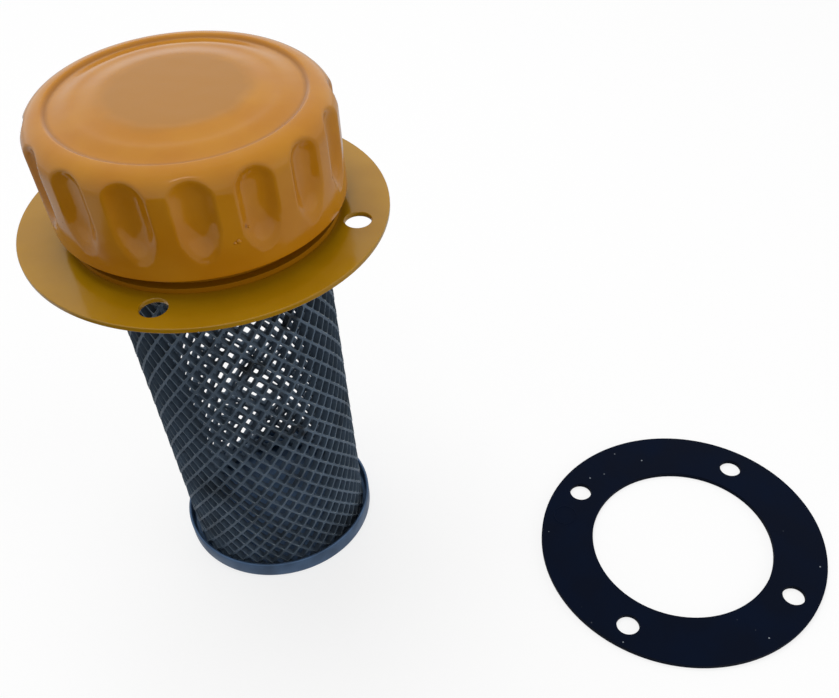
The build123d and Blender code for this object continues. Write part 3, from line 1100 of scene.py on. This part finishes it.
@dataclass
class DrawnCup:
    """Cup drawn from sheet steel, which closes the tube's foot."""

    wall: float = 0.9
    foot: float = 1.1  # rounding outside at its foot
    corner: float = 0.4  # rounding inside at its foot
    raised: float = 0.25  # how far its bottom is pressed up
    rest: float = 5.0  # width of the ring that it stands on
    ramp: float = 1.0  # width of the slope from that ring to the raised bottom
    around: int = 160

    def build(self) -> None:
        """Spin the cup's section, from its bottom over the rolled lip and back inside."""
        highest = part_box("strainer_cup")[1]
        radius, top = highest.x / MM, highest.z / MM
        lip = self.wall / 2
        inner = radius - self.wall
        bottom_r = radius - self.rest - self.ramp
        outline = [(0, self.raised), (bottom_r, self.raised), (radius - self.rest, 0)]
        outline += arc_points((radius - self.foot, self.foot), self.foot, -90, 0, 6)
        outline += [(radius, top / 2)]
        outline += arc_points((radius - lip, top - lip), lip, 0, 180, 6)
        outline += [(inner, top / 2), (inner, self.foot)]
        bend = (inner - self.corner, self.wall + self.corner)
        outline += arc_points(bend, self.corner, 0, -90, 3)[1:]
        outline += [(bottom_r, self.wall + self.raised), (0, self.wall + self.raised)]
        bm = lathe(outline, self.around, closed=False)
        piece = to_piece(bm, "drawn_cup", Slot.BLUED, Body.BASE)
        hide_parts("strainer_cup")
        log.info("drawn_cup: radius %.1f mm", radius)


@dataclass
class StrainerBasket:
    """Tube of expanded steel, the drawn cup at its foot and the rim at its top."""

    tube: ExpandedTube = field(default_factory=ExpandedTube)
    cup: DrawnCup = field(default_factory=DrawnCup)
    rim_edge: float = 0.2

    def build(self) -> None:
        """Build the tube and the cup, and round the rim's edges."""
        self.tube.build()
        self.cup.build()
        softened("strainer_rim", "rim_band", Slot.PLATED, Body.BASE, self.rim_edge)


@dataclass
class FlangeGasket:
    """Flat punched rubber ring with a faint moulded mark."""

    edge: float = 0.12
    mark_radius: float = 3.4
    mark_turn: float = 171.2  # where the mark lies round the ring
    mark_at: float = 36.1  # how far from the ring's middle
    mark_ridge: float = 0.26  # radius of the mark's ridge
    mark_sunk: float = 0.6  # share of that radius that lies in the ring

    def build(self) -> None:
        """Round the ring's edges and raise its mark."""
        softened("flange_gasket", "gasket_ring", Slot.GASKET, Body.BASE, self.edge)
        lowest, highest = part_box("flange_gasket")
        centre = (lowest + highest) / 2
        ridge = arc_points((self.mark_radius, 0), self.mark_ridge, 0, 360, 8)[:-1]
        bm = lathe(ridge, 40, closed=True)
        turn = radians(self.mark_turn)
        spot = Vector((self.mark_at * cos(turn), self.mark_at * sin(turn), 0)) * MM
        spot += Vector((centre.x, centre.y, highest.z - self.mark_sunk * self.mark_ridge * MM))
        bmesh.ops.translate(bm, vec=spot, verts=bm.verts)
        to_piece(bm, "gasket_mark", Slot.GASKET, Body.BASE)
        log.info("gasket_ring and its mark")


@dataclass
class CapWorks:
    """What the cap hides: pan, seal, element, spacer, bayonet bar, spring and rivet."""

    edge: float = 0.2

    def build(self) -> None:
        """Round the pressed and turned pieces, and dress the rest."""
        rounded = {
            "cap_pan": "pan_pressing",
            "bayonet_bar": "bayonet_plate",
            "centre_rivet": "rivet_pin",
            "spring_washer": "washer_disc",
        }
        for node, name in rounded.items():
            softened(node, name, Slot.PLATED, Body.CAP, self.edge)
        softened("cap_seal", "seal_ring", Slot.SEAL, Body.SEAL, self.edge)
        for node in ("spacer", "element_core"):
            dress(node, Slot.PLATED)
        dress("cap_spring", Slot.SPRING)
        dress("filter_element", Slot.FOAM)


# ---------------------------------------------------------------- the studio
@dataclass(frozen=True)
class Lamp:
    """One soft square lamp. Its place and its side are metres."""

    name: str
    at: tuple[float, float, float]
    side: float
    irradiance: float  # light on a facing white card, where 1 renders it white
    mirrored: bool = False  # whether glossy surfaces reflect the lamp itself

    def hang(self, aim: Vector) -> None:
        """Hang the lamp, facing a point.

        Args:
            aim: The point, in metres.
        """
        light = bpy.data.lights.new(self.name, "AREA")
        light.shape = "SQUARE"
        light.size = self.side
        span = aim - Vector(self.at)
        light.energy = self.irradiance * pi * pi * span.length_squared
        lamp = bpy.data.objects.new(self.name, light)
        lamp.visible_glossy = self.mirrored
        turn = span.to_track_quat("-Z", "Y").to_matrix().to_4x4()
        lamp.matrix_world = Matrix.Translation(self.at) @ turn
        bpy.context.scene.collection.objects.link(lamp)


@dataclass
class Studio:
    """White floor, cards that only reflections see, lamps and the camera."""

    place: tuple[float, float, float] = (83.6, -173.9, 225.6)
    forward: tuple[float, float, float] = (-0.0947, 0.6326, -0.7687)
    roll: float = -1.03
    lens: float = 39.76
    film_width: float = 36.0
    shift: tuple[float, float] = (-0.0520, 0.1711)
    lamps: tuple[Lamp, ...] = (
        Lamp("overhead", (-0.18, 0.26, 0.98), 0.7, 0.58),
        Lamp("side_fill", (0.9, -0.15, 0.22), 0.5, 0.24),
        Lamp("glint", (0.05, -0.36, 0.76), 0.12, 0.035, mirrored=True),
    )
    aim_height: float = 110.0  # height of the point that the lamps face
    sky: float = 0.43  # light from all round
    floor_sides: tuple[float, float] = (-3000.0, 3000.0)
    floor_gap: float = 0.05  # how far the floor lies below the object
    floor_grey: str = "#B4B4B4"  # what the floor throws back on the object
    glow: float = 1.03  # white floor's own brightness
    shadow: float = 0.26  # how strongly the object's shadow shows on the white floor
    mat: float = 0.6  # how bright the grey mat is in a reflection
    mat_sides: tuple[float, float] = (-2800.0, 2800.0)
    mat_height: float = 0.3
    flag: float = 0.02  # how bright the dark flag is in a reflection
    flag_sides: tuple[float, float] = (-172.0, 187.0)
    flag_reach: tuple[float, float] = (-1500.0, -50.0)  # its far end, and its end by the object
    flag_height: float = 0.6

    def seen(self, tree: Tree) -> Socket:
        """Tell rays that show the background: camera, glossy and transmission rays.

        Args:
            tree: The node tree.

        Returns:
            1 for those rays, and 0 for others.
        """
        path = add_node(tree, "ShaderNodeLightPath").outputs
        either = path["Is Camera Ray"]
        for ray in ("Is Glossy Ray", "Is Transmission Ray"):
            both = (either, path[ray])
            either = add_node(tree, "ShaderNodeMath", both, operation="MAXIMUM").outputs[0]
        return either

    @staticmethod
    def sheet(
        name: str,
        material: bpy.types.Material,
        across: tuple[float, float],
        along: tuple[float, float],
        height: float,
    ) -> bpy.types.Object:
        """Lay a level sheet.

        Args:
            name: Its name.
            material: What it is dressed in.
            across: Its left and right sides.
            along: Its near and far sides.
            height: Its height.

        Returns:
            The new sheet.
        """
        bm = bmesh.new()
        bmesh.ops.create_grid(bm, x_segments=1, y_segments=1, size=0.5)
        size = Vector((across[1] - across[0], along[1] - along[0], 1))
        middle = Vector((sum(across) / 2, sum(along) / 2, height))
        bmesh.ops.scale(bm, vec=size * MM, verts=bm.verts)
        bmesh.ops.translate(bm, vec=middle * MM, verts=bm.verts)
        return to_object(bm, name, material)

    def floor(self) -> None:
        """Lay a wide white floor that keeps the object's shadow."""
        material = empty_material("white_sweep")
        tree = material.node_tree
        add = partial(add_node, tree)
        paper = add("ShaderNodeBsdfDiffuse", {"Color": WHITE}).outputs[0]
        glow = add("ShaderNodeEmission", {"Color": WHITE, "Strength": self.glow}).outputs[0]
        white = add("ShaderNodeMixShader", (self.shadow, glow, paper)).outputs[0]
        grey = add("ShaderNodeBsdfDiffuse", {"Color": linear(self.floor_grey)}).outputs[0]
        mix = add("ShaderNodeMixShader", (self.seen(tree), grey, white)).outputs[0]
        add("ShaderNodeOutputMaterial", {"Surface": mix})
        sides = self.floor_sides
        self.sheet("floor", material, sides, sides, -self.floor_gap)

    def card(
        self,
        name: str,
        grey: float,
        across: tuple[float, float],
        along: tuple[float, float],
        height: float,
    ) -> None:
        """Lay a flat card that only reflections see, as a studio's flags are.

        Args:
            name: Card's name.
            grey: Its brightness in a reflection.
            across: Its left and right sides.
            along: Its near and far sides.
            height: Its height over the floor.
        """
        material = empty_material(name)
        tone = {"Color": (grey, grey, grey, 1.0), "Strength": 1.0}
        surface = add_node(material.node_tree, "ShaderNodeEmission", tone).outputs[0]
        add_node(material.node_tree, "ShaderNodeOutputMaterial", {"Surface": surface})
        card = self.sheet(name, material, across, along, height)
        card.visible_camera = False
        card.visible_diffuse = False
        card.visible_transmission = False
        card.visible_shadow = False

    def world(self) -> None:
        """Set even light from all round, white where it is seen."""
        world = bpy.data.worlds.new("studio")
        bpy.context.scene.world = world
        world.use_nodes = True
        tree = world.node_tree
        tree.nodes.clear()
        add = partial(add_node, tree)
        shown = add("ShaderNodeBackground", {"Color": WHITE, "Strength": 1.0}).outputs[0]
        light = add("ShaderNodeBackground", {"Color": WHITE, "Strength": self.sky}).outputs[0]
        mix = add("ShaderNodeMixShader", (self.seen(tree), light, shown)).outputs[0]
        add("ShaderNodeOutputWorld", {"Surface": mix})

    def camera(self) -> None:
        """Set the camera from its place, its direction and its roll."""
        forward = Vector(self.forward).normalized()
        right = forward.cross(Vector((0, 0, 1))).normalized()
        up = right.cross(forward)
        turn = radians(self.roll)
        side = right * cos(turn) + up * sin(turn)
        top = up * cos(turn) - right * sin(turn)
        data = bpy.data.cameras.new("camera")
        data.sensor_width = self.film_width
        data.sensor_fit = "HORIZONTAL"
        data.lens = self.lens
        data.shift_x, data.shift_y = self.shift
        data.clip_start = 10 * MM
        camera = bpy.data.objects.new("camera", data)
        axes = Matrix((side, top, -forward)).transposed().to_4x4()
        camera.matrix_world = Matrix.Translation(Vector(self.place) * MM) @ axes
        bpy.context.scene.collection.objects.link(camera)
        bpy.context.scene.camera = camera

    def build(self) -> None:
        """Set up camera, world, floor, cards and lamps."""
        bpy.context.scene.view_settings.view_transform = "Standard"
        self.camera()
        self.world()
        self.floor()
        self.card("grey_mat", self.mat, self.mat_sides, self.mat_sides, self.mat_height)
        self.card("dark_flag", self.flag, self.flag_sides, self.flag_reach, self.flag_height)
        for lamp in self.lamps:
            lamp.hang(Vector((0, 0, self.aim_height)) * MM)
        log.info("studio set")


def main() -> None:
    """Build the sub-assemblies in order."""
    logging.basicConfig(level=logging.INFO, format="%(name)s: %(message)s")
    for part in (Studio, FlutedCap, MountingFlange, StrainerBasket, CapWorks, FlangeGasket):
        part().build()


if __name__ == "__main__":
    main()
